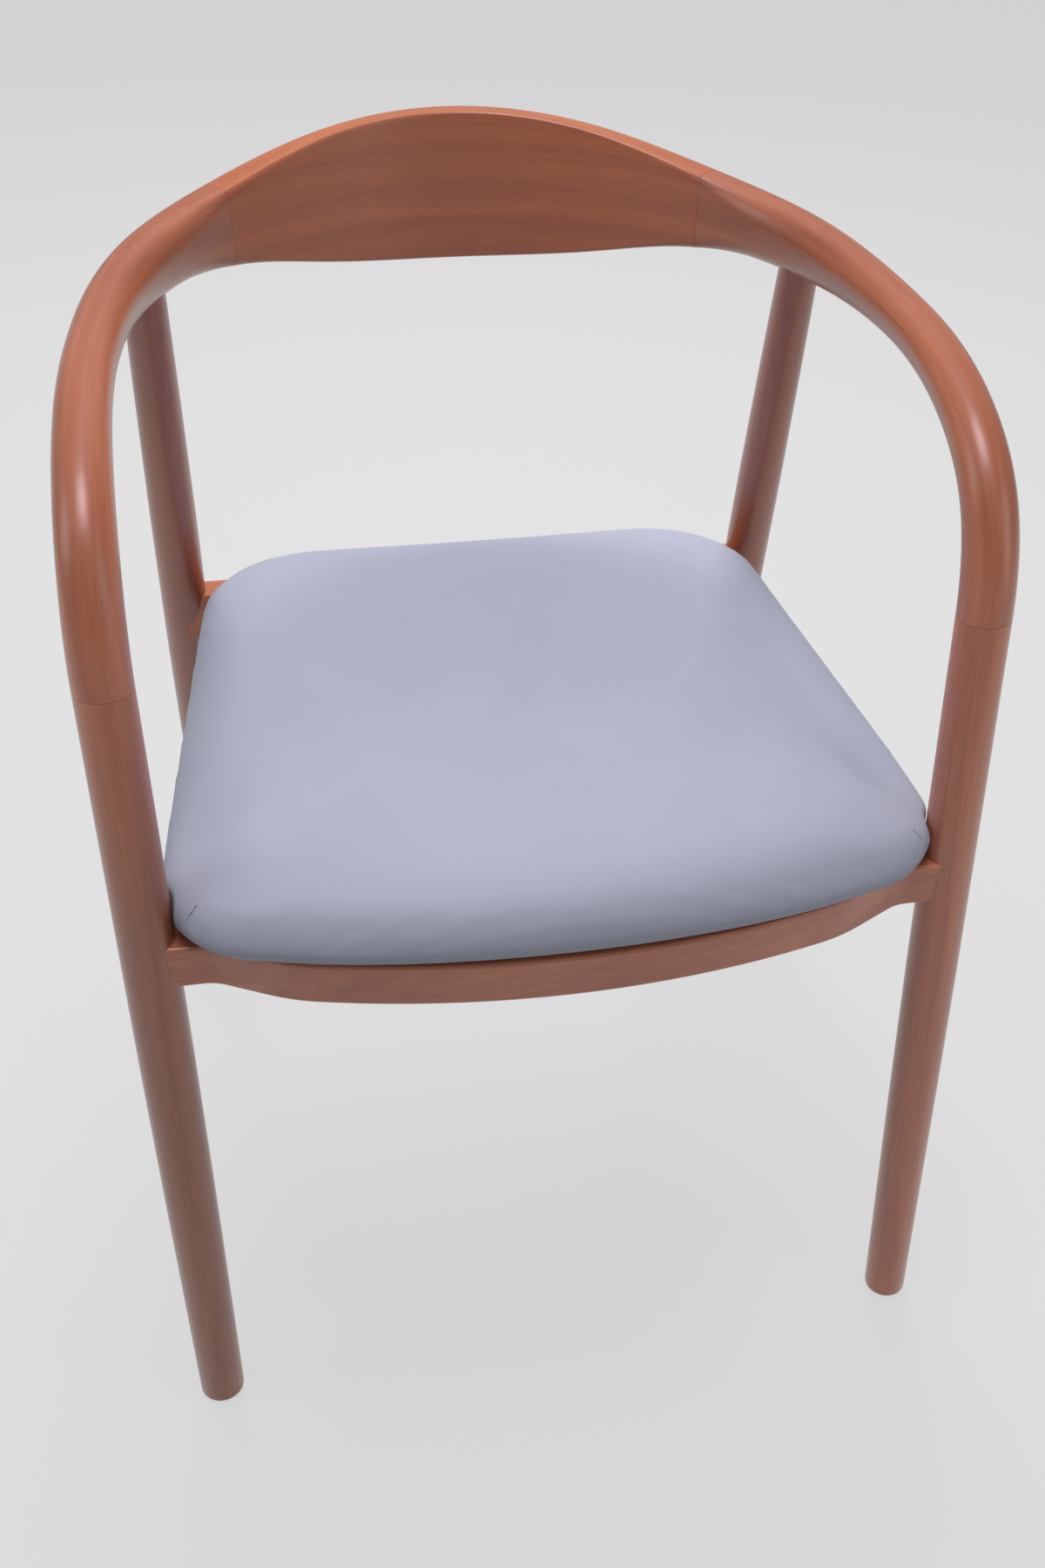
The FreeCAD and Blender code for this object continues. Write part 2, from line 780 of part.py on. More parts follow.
save("backrest_dowels", dowel_set(joint_dowel_places(), joint_dowel_radius, joint_dowel_length))
save("arm_dowels", dowel_set(arm_dowel_places(), joint_dowel_radius, joint_dowel_length))
save("front_rail_dowels", dowel_set(front_rail_dowels(), dowel_radius, dowel_length))
save("rear_rail_dowels", dowel_set(rear_rail_dowels(), dowel_radius, dowel_length))
save("side_rail_dowels", dowel_set(side_rail_front_dowels() + side_rail_rear_dowels(),
                                   dowel_radius, dowel_length))
save("seat_screws", both_sides([seat_screw(*place) for place in corners.values()]))
save("block_screws", both_sides([screw for place in corners.values() for screw in block_screws(*place)]))
save("floor_glides", both_sides([glide(front_foot), glide(rear_foot)]))
save("glide_nails", both_sides([glide_nail(front_foot), glide_nail(rear_foot)]))
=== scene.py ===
# %% [markdown]
# # A horseshoe back armchair
# The chair's rails, blocks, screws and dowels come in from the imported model, and this script adds what the
# eye judges: the bent horseshoe of arms and backrest, the turned legs, the upholstered seat and every finish.
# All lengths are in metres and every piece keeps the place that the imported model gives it.

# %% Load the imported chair
import math
import bmesh
import bpy
import numpy as np
from mathutils import Matrix, Vector
from mathutils.geometry import interpolate_bezier


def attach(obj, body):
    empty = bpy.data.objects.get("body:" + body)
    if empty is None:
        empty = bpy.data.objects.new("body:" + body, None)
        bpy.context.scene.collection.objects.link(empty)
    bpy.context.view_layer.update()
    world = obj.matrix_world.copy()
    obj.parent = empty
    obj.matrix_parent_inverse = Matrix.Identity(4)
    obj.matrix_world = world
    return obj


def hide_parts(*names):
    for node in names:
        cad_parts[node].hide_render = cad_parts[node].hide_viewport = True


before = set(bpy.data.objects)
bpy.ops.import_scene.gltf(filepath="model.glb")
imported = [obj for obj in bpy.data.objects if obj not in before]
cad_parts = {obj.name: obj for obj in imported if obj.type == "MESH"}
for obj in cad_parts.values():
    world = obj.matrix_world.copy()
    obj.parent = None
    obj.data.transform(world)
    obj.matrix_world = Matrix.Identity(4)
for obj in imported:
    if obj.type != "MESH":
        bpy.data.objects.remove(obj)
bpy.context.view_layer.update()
MM = 0.001
BODY = "root"
print("packed nodes:", len(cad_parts))

# %% [markdown]
# ## Finding the curve of the horseshoe
# The arms and the backrest follow one line in space. It could be drawn with Blender's own curve object, but
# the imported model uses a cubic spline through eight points, so the same spline is worked out here: each row
# holds a place, the half thickness and half height of the timber there, how far its section has turned from
# round to board, and how far it leans back.

# %% Points of the horseshoe, from the top of a front leg to the middle of the back
HALF_WIDTH = 262.6 * MM
ARM_FRONT = -220.5 * MM
ARM_DEPTH = 453.3 * MM
ARM_HEIGHT = 713.3 * MM
BACK_LEAN = math.radians(2.7)
HORSESHOE = [
    # width, depth and height shares; half thickness and half height in mm; board share; lean share
    (1.000, 0.000, 0.840, 17.5, 17.5, 0.00, 0.0),
    (0.991, 0.043, 0.935, 17.1, 17.1, 0.00, 0.0),
    (0.982, 0.201, 0.991, 16.3, 16.3, 0.00, 0.0),
    (0.956, 0.423, 1.002, 15.9, 15.9, 0.00, 0.0),
    (0.851, 0.672, 1.000, 16.5, 20.7, 0.17, 0.3),
    (0.652, 0.828, 1.002, 13.9, 25.7, 0.80, 0.8),
    (0.362, 0.940, 1.000, 10.6, 43.1, 1.00, 1.0),
    (0.000, 1.000, 0.997, 10.2, 51.1, 1.00, 1.0),
]
# rows at which the rear leg meets the arm, the glue line stands, and the back has its middle
JUNCTION = 4
JOINT = 5
MIDDLE = 7


def horseshoe_row(shares):
    across, along, rise, thick, height, board, lean = shares
    return [HALF_WIDTH * across, ARM_FRONT + ARM_DEPTH * along, ARM_HEIGHT * rise,
            thick * MM, height * MM, board, lean]


rows = np.array([horseshoe_row(shares) for shares in HORSESHOE])
steps = np.concatenate([[0], np.cumsum(np.linalg.norm(np.diff(rows[:, :3], axis=0), axis=1))])
print("length of half the horseshoe:", round(steps[-1], 3), "m")

# %% [markdown]
# ## A spline that keeps its direction at both ends
# A clamped cubic spline needs a slope at each point. The slopes at the ends are known: the arm leaves the leg
# along the leg's own axis, and at the middle of the back it runs straight across. The others follow from a
# small set of linear equations, which NumPy solves.

# %% Solve and read the spline
FRONT_FOOT = Vector((265.4, -280.3, 0)) * MM
REAR_FOOT = Vector((240.3, 294.3, 0)) * MM
leg_top = Vector(rows[0, :3])
rear_leg_top = Vector(rows[JUNCTION, :3])
front_leg_axis = (leg_top - FRONT_FOOT).normalized()
rear_leg_axis = (rear_leg_top - REAR_FOOT).normalized()


def spline_slopes(values, first, last):
    count = len(values)
    gaps = np.diff(steps)
    system = np.eye(count)
    wanted = np.zeros_like(values)
    wanted[0] = first
    wanted[-1] = last
    for i in range(1, count - 1):
        before, after = 1 / gaps[i - 1], 1 / gaps[i]
        system[i, i - 1:i + 2] = before, 2 * (before + after), after
        wanted[i] = 3 * ((values[i] - values[i - 1]) * before ** 2
                         + (values[i + 1] - values[i]) * after ** 2)
    return np.linalg.solve(system, wanted)


no_change = [0] * 4
slopes = spline_slopes(rows, list(front_leg_axis) + no_change, [-1, 0, 0] + no_change)


def horseshoe_at(station):
    """All seven values at one station, and the direction of the line there."""
    i = min(int(station), len(rows) - 2)
    gap = steps[i + 1] - steps[i]
    t = station - i
    value = ((1 + 2 * t) * (1 - t) ** 2 * rows[i] + t * (1 - t) ** 2 * gap * slopes[i]
             + t * t * (3 - 2 * t) * rows[i + 1] + t * t * (t - 1) * gap * slopes[i + 1])
    rise = (6 * t * (t - 1) * (rows[i] - rows[i + 1]) / gap
            + (1 - t) * (1 - 3 * t) * slopes[i] + t * (3 * t - 2) * slopes[i + 1])
    return value, Vector(rise[:3]).normalized(), steps[i] + gap * t


print("middle of an arm:", [round(v, 4) for v in horseshoe_at(3)[0][:3]])

# %% [markdown]
# ## The section turns from round to board
# In front the timber is as round as a broom handle, and at the joint it has become a board on edge. The
# board's rear edges are well rounded. Its front edges are crisp, and soften where the arm takes over. Both
# sections could be profile curves, but a curve object can't blend two of them. They are drawn here as eight
# short curves each, so that one can slide into the other point by point, and Blender's own Bezier function
# reads the points off them.

# %% Draw one section
FACE_EDGE = 2.6 * MM
SOFTENED_EDGE = 12 * MM
REAR_EDGE = 7.5 * MM
EDGE_LIMIT = 0.9  # of the half thickness, so that an edge never passes the middle of a thin board
CURVE_POINTS = 6
# lengths of Bezier handles that draw an eighth and a quarter of a circle of radius 1
CIRCLE_HANDLE = 4 / 3 * math.tan(math.pi / 16)
CORNER_HANDLE = 4 / 3 * math.tan(math.pi / 8)


def round_joints(thick, height):
    """Eight points of an ellipse, each with its handle."""
    joints = []
    for i in range(8):
        angle = math.radians(45 * i - 22.5)
        across, up = math.cos(angle), math.sin(angle)
        joints.append(((thick * across, height * up),
                       (-thick * up * CIRCLE_HANDLE, height * across * CIRCLE_HANDLE)))
    return joints


def board_joints(thick, height, softened):
    """Eight points of a board on edge, with its face to the sitter, each with its handle."""
    face = min(FACE_EDGE + (SOFTENED_EDGE - FACE_EDGE) * softened, thick * EDGE_LIMIT)
    rear = REAR_EDGE
    face_handle, rear_handle = face * CORNER_HANDLE, rear * CORNER_HANDLE
    return [
        ((thick, face - height), (0, face_handle)),
        ((thick, height - face), (0, face_handle)),
        ((thick - face, height), (-face_handle, 0)),
        ((rear - thick, height), (-rear_handle, 0)),
        ((-thick, height - rear), (0, -rear_handle)),
        ((-thick, rear - height), (0, -rear_handle)),
        ((rear - thick, -height), (rear_handle, 0)),
        ((thick - face, -height), (face_handle, 0)),
    ]


def section_points(thick, height, board, softened=0):
    """Points round the section as (towards the sitter, up)."""
    board = min(max(board, 0), 1)
    joints = []
    for round_joint, board_joint in zip(round_joints(thick, height), board_joints(thick, height, softened)):
        joints.append([Vector(a).lerp(Vector(b), board).to_3d() for a, b in zip(round_joint, board_joint)])
    points = []
    for (start, leaving), (end, arriving) in zip(joints, joints[1:] + joints[:1]):
        points += interpolate_bezier(start, start + leaving, end - arriving, end, CURVE_POINTS + 1)[:-1]
    return points


print("points in a section:", len(section_points(1, 1, 0)))

# %% [markdown]
# ## A loft that remembers how the timber grew
# A swept or bevelled curve object could make these pieces, but its section can't change shape on the way.
# Here every ring of points is set in place and bridged to the next one. Each point also keeps its place in
# the straight plank that the piece was bent from, in an attribute called grain, so that the wood's figure
# runs round the bend as it does in steamed timber.

# %% Bridge rings into one closed piece
SHARP_ANGLE = math.radians(35)


def finished(bm, name):
    """The bmesh as an object that shades smooth, with its steep edges kept sharp."""
    for face in bm.faces:
        face.smooth = True
    mesh = bpy.data.meshes.new(name)
    bm.to_mesh(mesh)
    bm.free()
    mesh.set_sharp_from_angle(angle=SHARP_ANGLE)
    piece = bpy.data.objects.new(name, mesh)
    bpy.context.scene.collection.objects.link(piece)
    return piece


def lofted(name, rings, planks):
    bm = bmesh.new()
    grain = bm.verts.layers.float_vector.new("grain")
    loops = []
    for ring, plank in zip(rings, planks):
        verts = [bm.verts.new(point) for point in ring]
        for vert, place in zip(verts, plank):
            vert[grain] = place
        loops.append([bm.edges.new((a, b)) for a, b in zip(verts, verts[1:] + verts[:1])])
    for one, following in zip(loops, loops[1:]):
        bmesh.ops.bridge_loops(bm, edges=one + following)
    bmesh.ops.holes_fill(bm, edges=loops[0] + loops[-1], sides=0)
    bmesh.ops.recalc_face_normals(bm, faces=bm.faces)
    return finished(bm, name)


print("edges steeper than", round(math.degrees(SHARP_ANGLE)), "degrees stay sharp")

# %% [markdown]
# ## Arms and backrest
# The real horseshoe is glued up from three pieces, and the two glue lines stand where the arms have just
# become boards. Each piece stops there with its rim eased by a quarter of a millimetre, which leaves the
# fine line that the eye finds between two boards.

# %% Make the three pieces of the horseshoe
RIM = 0.25 * MM
STATION_STEP = 0.06
EDGE_FADE = 0.5


def ring_at(station, side, shrink):
    """One ring of the horseshoe, and the places that its points had in the straight plank."""
    value, along, run = horseshoe_at(station)
    place = Vector(value[:3])
    inward = Vector((-along.y, along.x, 0)).normalized()
    up = along.cross(inward)
    lean = BACK_LEAN * value[6]
    leaned_in = inward * math.cos(lean) + up * math.sin(lean)
    leaned_up = up * math.cos(lean) - inward * math.sin(lean)
    ring, plank = [], []
    softened = min(max((JOINT - station) / EDGE_FADE, 0), 1)
    for point in section_points(value[3] - shrink, value[4] - shrink, value[5], softened):
        spot = place + leaned_in * point.x + leaned_up * point.y
        ring.append(Vector((side * spot.x, spot.y, spot.z)))
        plank.append(Vector((run, point.x, point.y)))
    return ring, plank


def horseshoe_piece(name, places):
    """places holds (station, side, shrink) along the piece."""
    pairs = [ring_at(*place) for place in places]
    return lofted(name, [ring for ring, _ in pairs], [plank for _, plank in pairs])


def eased_stations(first, last):
    """Even stations with an eased rim at both ends."""
    ease = RIM / (steps[-1] / MIDDLE)
    count = round((last - first) / STATION_STEP)
    inner = np.linspace(first + ease, last - ease, count)
    return [(first, RIM)] + [(float(s), 0) for s in inner] + [(last, RIM)]


def arm(name, side):
    return horseshoe_piece(name, [(s, side, shrink) for s, shrink in eased_stations(0, JOINT)])


def backrest():
    half = [(s, 1, shrink) for s, shrink in eased_stations(JOINT, MIDDLE)]
    half[-1] = (MIDDLE, 1, 0)
    return horseshoe_piece("horseshoe_backrest", half + [(s, -1, k) for s, _, k in reversed(half[:-1])])


arms = {side: arm("arm_bend_" + name, side) for side, name in ((1, "right"), (-1, "left"))}
back = backrest()
print("faces in an arm:", len(arms[1].data.polygons), "and in the backrest:", len(back.data.polygons))

# %% [markdown]
# ## Turned legs
# A leg is a body of revolution. Spinning a profile round the axis would give the shape, but leaves a seam to be
# merged. So a circle is extruded along its own axis and scaled at each step, as a turner sets a caliper. The
# leg is then laid along its real axis, and a plane cuts the foot level with the floor.

# %% Make the four legs
LEG_SIDES = 48
LEG_RINGS = 26
GLIDE_HEIGHT = 4 * MM
FOOT_EASE = 2.2 * MM
FOOT_EASE_SEGMENTS = 3
# share of the leg's length from the floor, and radius in mm
FRONT_TURNING = [(-0.03, 15.8), (0.0, 15.8), (0.15, 16.5), (0.35, 17.4), (0.55, 17.9), (0.78, 17.8),
                 (1.0, 17.5)]
REAR_TURNING = [(-0.03, 14.2), (0.0, 14.2), (0.15, 15.4), (0.32, 16.8), (0.50, 17.5), (0.70, 16.9),
                (0.86, 15.5), (1.0, 13.9)]


def caliper(turning, share):
    return float(np.interp(share, [s for s, _ in turning], [r for _, r in turning])) * MM


def turned_leg(name, foot, top, turning, side):
    length = (top - foot).length
    to_axis = Vector((0, 0, 1)).rotation_difference((top - foot).normalized()).to_matrix().to_4x4()
    bm = bmesh.new()
    grain = bm.verts.layers.float_vector.new("grain")
    bmesh.ops.create_circle(bm, cap_ends=False, segments=LEG_SIDES, radius=caliper(turning, turning[0][0]))
    shares = list(np.linspace(turning[0][0], 1, LEG_RINGS))
    bmesh.ops.translate(bm, verts=bm.verts, vec=(0, 0, shares[0] * length))
    ring = list(bm.edges)
    for low, high in zip(shares, shares[1:]):
        out = bmesh.ops.extrude_edge_only(bm, edges=ring)["geom"]
        verts = [g for g in out if isinstance(g, bmesh.types.BMVert)]
        ring = [g for g in out if isinstance(g, bmesh.types.BMEdge)]
        size = caliper(turning, high) / caliper(turning, low)
        bmesh.ops.scale(bm, vec=(size, size, 1), verts=verts)
        bmesh.ops.translate(bm, vec=(0, 0, (high - low) * length), verts=verts)
    bmesh.ops.holes_fill(bm, edges=[e for e in bm.edges if e.is_boundary], sides=0)
    for vert in bm.verts:
        vert[grain] = Vector((vert.co.z, vert.co.x, vert.co.y))
    bmesh.ops.transform(bm, matrix=Matrix.Translation(foot) @ to_axis, verts=bm.verts)
    cut = bmesh.ops.bisect_plane(bm, geom=list(bm.verts) + list(bm.edges) + list(bm.faces),
                                 plane_co=(0, 0, GLIDE_HEIGHT), plane_no=(0, 0, -1), clear_outer=True)
    rim_edges = [g for g in cut["geom_cut"] if isinstance(g, bmesh.types.BMEdge)]
    bmesh.ops.holes_fill(bm, edges=rim_edges, sides=0)
    bmesh.ops.bevel(bm, geom=rim_edges, offset=FOOT_EASE, affect="EDGES", segments=FOOT_EASE_SEGMENTS,
                    profile=0.5, material=-1)
    if side < 0:
        bmesh.ops.scale(bm, vec=(-1, 1, 1), verts=bm.verts)
    bmesh.ops.recalc_face_normals(bm, faces=bm.faces)
    return finished(bm, name)


legs = {}
for side, hand in ((1, "right"), (-1, "left")):
    for row, foot, top, turning in (("front", FRONT_FOOT, leg_top, FRONT_TURNING),
                                    ("rear", REAR_FOOT, rear_leg_top, REAR_TURNING)):
        name = row + "_leg_" + hand
        legs[name] = turned_leg("turned_" + name, foot, top, turning, side)
print("faces in a leg:", len(legs["front_leg_right"].data.polygons))

# %% [markdown]
# ## The seat
# A drop-on seat is a plywood board with foam on it and coated cloth pulled down over both. A subdivided box
# would be quick, but it draws the outline away from the rails. Here the outline is a five-cornered polygon
# whose corners are rounded by bevelling its points, and the sides rise from it by extruding and scaling the
# top face. The swelling that makes it soft comes later, from a short cloth simulation.

# %% Draw the seat's outline and its body
SEAT_REAR = 162.2
SEAT_FRONT = -265.3
SEAT_NOSE = -337.3
SEAT_CENTRE = Vector((0, (SEAT_REAR + SEAT_FRONT) / 2, 0)) * MM
# corner points and the radius that rounds each, in mm
SEAT_CORNERS = [((209.7, SEAT_REAR), 82), ((-209.7, SEAT_REAR), 82), ((-261, SEAT_FRONT), 62),
                ((0, SEAT_NOSE), 703), ((261, SEAT_FRONT), 62)]
CORNER_SEGMENTS = 14
SEAT_LOW = 427 * MM
# share of the outline, and height above the seat's lowest level in mm
SEAT_LEVELS = [(0.958, 0), (0.974, 5), (0.984, 11), (0.989, 17), (0.990, 23), (0.985, 29), (0.972, 34),
               (0.948, 37.5), (0.912, 40), (0.865, 41.8), (0.80, 43), (0.70, 43.8), (0.55, 44.2),
               (0.36, 44.5), (0.15, 44.6)]


def outline_face(bm, corners, height):
    """A flat polygon with a round corner at each point."""
    places = [Vector((x * MM, y * MM, height)) for (x, y), _ in corners]
    verts = [bm.verts.new(place) for place in places]
    bm.faces.new(verts)
    count = len(corners)
    for i, vert in enumerate(verts):
        back = places[i - 1] - places[i]
        ahead = places[(i + 1) % count] - places[i]
        reach = corners[i][1] * MM / math.tan(back.angle(ahead) / 2)
        bmesh.ops.bevel(bm, geom=[vert], offset=reach, affect="VERTICES", segments=CORNER_SEGMENTS,
                        profile=0.5, material=-1, clamp_overlap=False)
    bm.faces.ensure_lookup_table()
    return bm.faces[0]


def raise_body(bm, face, levels):
    """Extrudes a face upwards through (share of the outline, height) levels."""
    share, height = levels[0]
    for next_share, next_height in levels[1:]:
        out = bmesh.ops.extrude_face_region(bm, geom=[face])["geom"]
        bmesh.ops.delete(bm, geom=[face], context="FACES_ONLY")
        face = next(g for g in out if isinstance(g, bmesh.types.BMFace))
        size = next_share / share
        bmesh.ops.scale(bm, vec=(size, size, 1), verts=face.verts,
                        space=Matrix.Translation(-SEAT_CENTRE))
        bmesh.ops.translate(bm, vec=(0, 0, next_height - height), verts=face.verts)
        share, height = next_share, next_height


def seat_body(name):
    bm = bmesh.new()
    levels = [(share, SEAT_LOW + rise * MM) for share, rise in SEAT_LEVELS]
    face = outline_face(bm, SEAT_CORNERS, levels[0][1])
    bmesh.ops.scale(bm, vec=(levels[0][0],) * 2 + (1,), verts=bm.verts, space=Matrix.Translation(-SEAT_CENTRE))
    raise_body(bm, face, levels)
    bmesh.ops.holes_fill(bm, edges=[edge for edge in bm.edges if edge.is_boundary], sides=0)
    bmesh.ops.recalc_face_normals(bm, faces=bm.faces)
    return finished(bm, name)


cushion = seat_body("seat_cushion")
seat_points = np.array([vert.co for vert in cushion.data.vertices])
print("seat from", seat_points.min(axis=0).round(4), "to", seat_points.max(axis=0).round(4))

# %% [markdown]
# ## Making the seat one even skin
# The extruded body has long thin faces that crease when they bend. Subdividing them would keep them long and
# thin, so a voxel remesh turns the body into small even squares, as a sculptor would before modelling cloth.

# %% Remesh the seat
VOXEL = 5 * MM


def applied(piece):
    """Bakes the piece's modifiers into its mesh."""
    bpy.context.view_layer.update()
    evaluated = piece.evaluated_get(bpy.context.evaluated_depsgraph_get())
    mesh = bpy.data.meshes.new_from_object(evaluated)
    piece.modifiers.clear()
    piece.data = mesh
    return piece


def with_modifier(piece, kind, **settings):
    """Adds one modifier and applies it."""
    modifier = piece.modifiers.new(kind.lower(), kind)
    for name, value in settings.items():
        setattr(modifier, name, value)
    return applied(piece)


with_modifier(cushion, "REMESH", mode="VOXEL", voxel_size=VOXEL, use_smooth_shade=True)
print("faces in the seat after the remesh:", len(cushion.data.polygons))

# %% [markdown]
# ## Foam under tight cloth
# Foam pushes its cover out until the cloth is tight. Inflating the mesh along its normals would swell it like
# a balloon, while Blender's cloth with some pressure inside also feels where the cover is held. The underside
# is pinned, because there the cover is stapled to the board, and the sides are held up to their widest level.
# A cap on how far any point may move keeps the seat at its real size.

# %% Let the foam push
PRESSURE = 2
PUSH_FRAMES = 10
PUSH_LIMIT = 5 * MM
STAPLED_ZONE = 17 * MM


def coordinates(mesh):
    flat = np.empty(len(mesh.vertices) * 3)
    mesh.vertices.foreach_get("co", flat)
    return flat.reshape(-1, 3)


def moved_to(piece, places):
    piece.data.vertices.foreach_set("co", places.ravel())
    piece.data.update()


def swollen(piece):
    """Lets the cloth simulation push the piece out, and returns the largest push before the cap."""
    start = coordinates(piece.data)
    stapled = piece.vertex_groups.new(name="stapled")
    stapled.add([int(i) for i in np.flatnonzero(start[:, 2] < SEAT_LOW + STAPLED_ZONE)], 1, "REPLACE")
    cloth = piece.modifiers.new("foam_pressure", "CLOTH").settings
    cloth.vertex_group_mass = stapled.name
    cloth.use_pressure = True
    cloth.uniform_pressure_force = PRESSURE
    cloth.effector_weights.gravity = 0
    for number in range(1, PUSH_FRAMES + 1):
        bpy.context.scene.frame_set(number)
    shift = coordinates(applied(piece).data) - start
    bpy.context.scene.frame_set(1)
    length = np.linalg.norm(shift, axis=1, keepdims=True)
    moved_to(piece, start + shift * PUSH_LIMIT / np.maximum(length, PUSH_LIMIT))
    piece.vertex_groups.clear()
    return float(length.max())


print("largest push before the cap:", round(swollen(cushion) / MM, 1), "mm")

# %% [markdown]
# ## A soft fall at the front, and pinched corners
# Behind the sitter's knees the foam is cut to a long curve, so that the front edge doesn't press. The cover is
# pulled down hard where it turns each front corner, and that pinches a shallow slanting valley into the top
# just behind the leg. A sculptor's brush could do both, but two formulas can be measured and repeated: each
# point near the front line sinks, most at the very edge, and each point near a corner sinks by a bell curve.

# %% Let the front edge fall and pinch the corners
FRONT_LINE = -306 * MM
FRONT_BEND = 1406 * MM
FALL = 15 * MM
FALL_REACH = 20 * MM
PINCH_PLACE = (228 * MM, -202 * MM)
PINCH_WAY = (-0.5, 0.866)  # the valley runs inwards and back, at 60 degrees
PINCH_REACH = (36 * MM, 13 * MM)  # along the valley and over it
PINCH = 9 * MM


def sink(piece):
    places = coordinates(piece.data)
    behind = places[:, 1] - (FRONT_LINE + places[:, 0] ** 2 / FRONT_BEND)
    fall = FALL * np.exp(-np.maximum(behind, 0) / FALL_REACH)
    outward, rearward = np.abs(places[:, 0]) - PINCH_PLACE[0], places[:, 1] - PINCH_PLACE[1]
    along_valley = (outward * PINCH_WAY[0] + rearward * PINCH_WAY[1]) / PINCH_REACH[0]
    over_valley = (outward * PINCH_WAY[1] - rearward * PINCH_WAY[0]) / PINCH_REACH[1]
    pinch = PINCH * np.exp(-(along_valley ** 2 + over_valley ** 2) / 2)
    rise = (places[:, 2] - SEAT_LOW) / (SEAT_LEVELS[-1][1] * MM)
    places[:, 2] -= (fall + pinch) * np.clip(rise, 0, 1)
    moved_to(piece, places)


sink(cushion)
print("front edge sinks by", round(FALL / MM), "mm at most, corners by", round(PINCH / MM), "mm")

# %% [markdown]
# ## Pressed against the front legs
# The seat's front corners are soft and wider than the space between the legs, so each leg leaves a round
# dent in them. A boolean would cut the dent with hard edges. Here every point that lies inside a leg is
# pushed straight out of it instead, once on the coarse skin and once more on the subdivided one.

# %% Press the dents and smooth the skin
LEG_CLEARANCE = 0.5 * MM
COARSE_EASE = VOXEL / 4
SKIN_SMOOTHING = {"factor": 0.5, "iterations": 6}


def pressed_off(piece, foot, top, radius):
    """Pushes the piece's points out of a leg, and counts them."""
    places = coordinates(piece.data)
    axis = np.array((top - foot).normalized())
    offset = places - np.array(foot)
    out = offset - np.outer(offset @ axis, axis)
    gap = np.linalg.norm(out, axis=1, keepdims=True)
    inside = (gap < radius)[:, 0]
    places[inside] += (out * (radius / gap - 1))[inside]
    moved_to(piece, places)
    return int(inside.sum())


def press_both_legs(piece, radius):
    return [pressed_off(piece, FRONT_FOOT * side, leg_top * side, radius)
            for side in (Vector((1, 1, 1)), Vector((-1, 1, 1)))]


with_modifier(cushion, "SMOOTH", **SKIN_SMOOTHING)
dent_radius = max(r for _, r in FRONT_TURNING) * MM + LEG_CLEARANCE
press_both_legs(cushion, dent_radius + COARSE_EASE)
with_modifier(cushion, "SUBSURF", levels=1)
pressed = press_both_legs(cushion, dent_radius)
for polygon in cushion.data.polygons:
    polygon.use_smooth = True
print("points pressed off the right and left legs:", pressed, "faces now:", len(cushion.data.polygons))

# %% [markdown]
# ## The pocket for the board, and the folds at the corners
# The plywood board lies in a pocket of the foam and its cover. The top skin could be given a thickness
# instead, but foam fills the seat, so a boolean cuts the pocket out of the full body with the seat's own
# outline. The cover also makes a short fold where it turns each front corner, and a thin pointed blade cuts it.

# %% Cut the pocket and the folds
POCKET_SHARE = 0.9465
POCKET_TOP = 440.3 * MM
POCKET_OVERRUN = 8.806 * MM
TUCK_TOP = Vector((230.5, -249.5, 457.5)) * MM
TUCK_FOOT = Vector((235.5, -252.5, 448.5)) * MM
TUCK_OUTWARD = Vector((0.72, -0.53, 0.42))
TUCK_WIDTH = 1.3 * MM
TUCK_DEPTH = 3.5 * MM


def outline_points(share, height):
    """The seat's outline, drawn in to a share of its size."""
    bm = bmesh.new()
    face = outline_face(bm, SEAT_CORNERS, height)
    points = [SEAT_CENTRE + (vert.co - SEAT_CENTRE) * share for vert in face.verts]
    bm.free()
    return [Vector((p.x, p.y, height)) for p in points]


def bridged(name, loops, closed):
    """Loops of points bridged in turn, as a closed ring or with a face at each end."""
    bm = bmesh.new()
    rings = []
    for loop in loops:
        verts = [bm.verts.new(point) for point in loop]
        rings.append([bm.edges.new((a, b)) for a, b in zip(verts, verts[1:] + verts[:1])])
    for one, following in zip(rings, rings[1:] + (rings[:1] if closed else [])):
        bmesh.ops.bridge_loops(bm, edges=one + following)
    if not closed:
        bmesh.ops.holes_fill(bm, edges=rings[0] + rings[-1], sides=0)
    bmesh.ops.recalc_face_normals(bm, faces=bm.faces)
    return finished(bm, name)


def tuck_blade(name, side):
    """A thin blade with pointed ends, to cut the fold where the cover is tucked round a front corner."""
    top, foot, outward = (point * Vector((side, 1, 1)) for point in (TUCK_TOP, TUCK_FOOT, TUCK_OUTWARD))
    middle = (top + foot) / 2
    half_width = (top - foot).cross(outward).normalized() * TUCK_WIDTH / 2
    bm = bmesh.new()
    verts = [bm.verts.new(point - outward * TUCK_DEPTH)
             for point in (top, middle + half_width, foot, middle - half_width)]
    pushed = bmesh.ops.extrude_face_region(bm, geom=[bm.faces.new(verts)])["geom"]
    bmesh.ops.translate(bm, verts=[part for part in pushed if isinstance(part, bmesh.types.BMVert)],
                        vec=outward * 2 * TUCK_DEPTH)
    bmesh.ops.recalc_face_normals(bm, faces=bm.faces)
    return finished(bm, name)


pocket_levels = (SEAT_LOW - POCKET_OVERRUN, POCKET_TOP)
pocket = bridged("pocket", [outline_points(POCKET_SHARE, level) for level in pocket_levels], closed=False)
for tool in (pocket, tuck_blade("right_tuck", 1), tuck_blade("left_tuck", -1)):
    with_modifier(cushion, "BOOLEAN", operation="DIFFERENCE", solver="EXACT", object=tool)
    bpy.data.objects.remove(tool)
print("pocket", round((POCKET_TOP - SEAT_LOW) / MM, 1), "mm deep, faces in the seat:", len(cushion.data.polygons))

